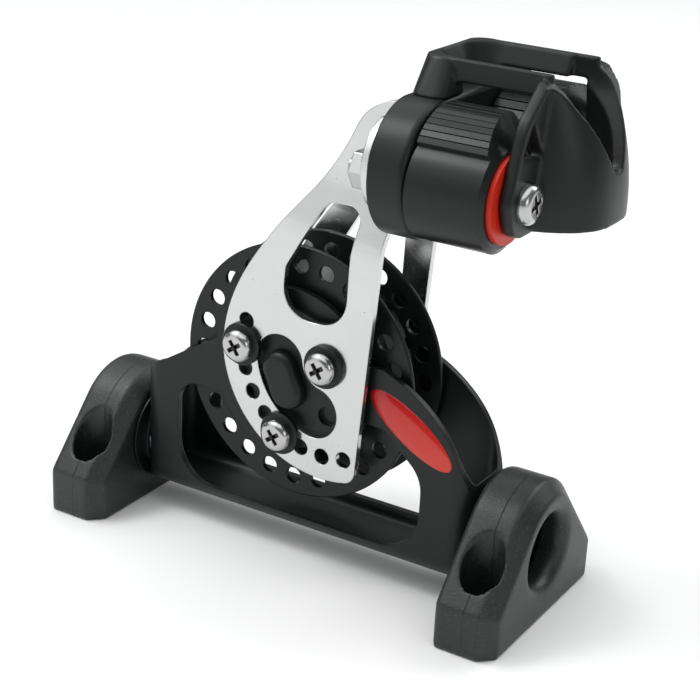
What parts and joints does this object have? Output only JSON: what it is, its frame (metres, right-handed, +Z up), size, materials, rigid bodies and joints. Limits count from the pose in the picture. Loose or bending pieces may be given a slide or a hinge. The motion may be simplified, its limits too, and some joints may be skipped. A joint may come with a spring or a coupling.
{
  "type": "pivoting ratchet lead block with cam cleat",
  "caption": "Deck-mounted swinging lead block: ratchet sheave in a cradle pivoting on two feet, with a cam cleat and fairlead on a bent stainless arm.",
  "frame": {"origin": "on the deck, at the middle of the four deck bolt holes", "axes": "+X along the block from the left foot to the right foot, which is the swing axis's direction and the side the cleat faces; +Z up from the deck; -Y is the side with the badge and the ratchet switch"},
  "size_m": [0.1198, 0.0588, 0.1154],
  "materials": {
    "foot_nylon": "fine-grained moulded nylon",
    "cradle_nylon": "smooth satin moulding",
    "liner_acetal": "smooth, turned",
    "sheave_acetal": "satin moulding",
    "cleat_plastic": "satin glass-filled moulding",
    "stainless_sheet": "polished sheet",
    "stainless_fastener": "bright, passivated",
    "black_washer": "satin",
    "race_steel": "machined",
    "spring_wire": "drawn wire",
    "balls": "polished",
    "badge_red": "clear domed resin",
    "cap_red": "moulded"
  },
  "bodies": {
    "deck_feet": {"foot_left": "foot_nylon", "foot_right": "foot_nylon"},
    "cradle_assembly": {"cradle": "cradle_nylon", "badge": "badge_red", "trunnion_left": "liner_acetal", "trunnion_right": "liner_acetal", "thrust_washer_left": "liner_acetal", "thrust_washer_right": "liner_acetal", "bearing_race": "race_steel", "axle_hub": "race_steel", "pawl_plate": "race_steel", "pawl_pins": "race_steel", "pawl_springs": "spring_wire", "cheek_front": "cradle_nylon", "cheek_rear": "cradle_nylon", "arm_front": "stainless_sheet", "arm_rear": "stainless_sheet", "cheek_screws_front": "stainless_fastener", "cheek_screws_rear": "stainless_fastener", "cheek_washers_front": "black_washer", "cheek_washers_rear": "black_washer", "cleat_base": "cleat_plastic", "cam_race_front": "race_steel", "cam_race_rear": "race_steel", "cam_cap_front": "cap_red", "cam_cap_rear": "cap_red", "cam_spring_front": "spring_wire", "cam_spring_rear": "spring_wire", "fairlead": "cleat_plastic", "cleat_screws": "stainless_fastener", "cleat_nuts": "stainless_fastener", "cleat_washers": "stainless_fastener"},
    "sheave": {"sheave_core": "sheave_acetal", "sheave_flange_front": "sheave_acetal", "sheave_flange_rear": "sheave_acetal", "sheave_balls": "balls"},
    "switch": {"ratchet_switch": "cradle_nylon"},
    "right_pawl": {"pawl_right": "race_steel"},
    "left_pawl": {"pawl_left": "race_steel"},
    "front_cam": {"cam_front": "cleat_plastic", "cam_balls_front": "balls"},
    "rear_cam": {"cam_rear": "cleat_plastic", "cam_balls_rear": "balls"}
  },
  "joints": [
    {"name": "cradle_swing", "type": "hinge", "parent": "deck_feet", "child": "cradle_assembly", "pos_m": [0, 0, 0.015], "axis": [1, 0, 0], "range_deg": [-75, 75]},
    {"name": "sheave_spin", "type": "hinge", "parent": "cradle_assembly", "child": "sheave", "pos_m": [-0.0024, 0, 0.0418], "axis": [0, 1, 0], "continuous": true},
    {"name": "cam_front_open", "type": "hinge", "parent": "cradle_assembly", "child": "front_cam", "pos_m": [0.0414, -0.019, 0.0936], "axis": [1, 0, 0], "range_deg": [0, 60], "stiffness_Nm_per_rad": 0.02, "springref_deg": -22.92},
    {"name": "cam_rear_open", "type": "hinge", "parent": "cradle_assembly", "child": "rear_cam", "pos_m": [0.0414, 0.019, 0.0936], "axis": [-1, 0, 0], "range_deg": [0, 60], "stiffness_Nm_per_rad": 0.02, "springref_deg": -22.92},
    {"name": "ratchet_switch_turn", "type": "hinge", "parent": "cradle_assembly", "child": "switch", "pos_m": [-0.0024, 0, 0.0418], "axis": [0, -1, 0], "range_deg": [0, 26]},
    {"name": "pawl_right_lift", "type": "hinge", "parent": "cradle_assembly", "child": "right_pawl", "pos_m": [0.0079, 0, 0.0418], "axis": [0, 1, 0], "range_deg": [0, 14]},
    {"name": "pawl_left_lift", "type": "hinge", "parent": "cradle_assembly", "child": "left_pawl", "pos_m": [-0.0127, 0, 0.0418], "axis": [0, 1, 0], "range_deg": [0, 14]}
  ],
  "couplings": [
    {"joint": "pawl_right_lift", "follows": "ratchet_switch_turn", "ratio": 0.4},
    {"joint": "pawl_left_lift", "follows": "ratchet_switch_turn", "ratio": 0.4}
  ]
}
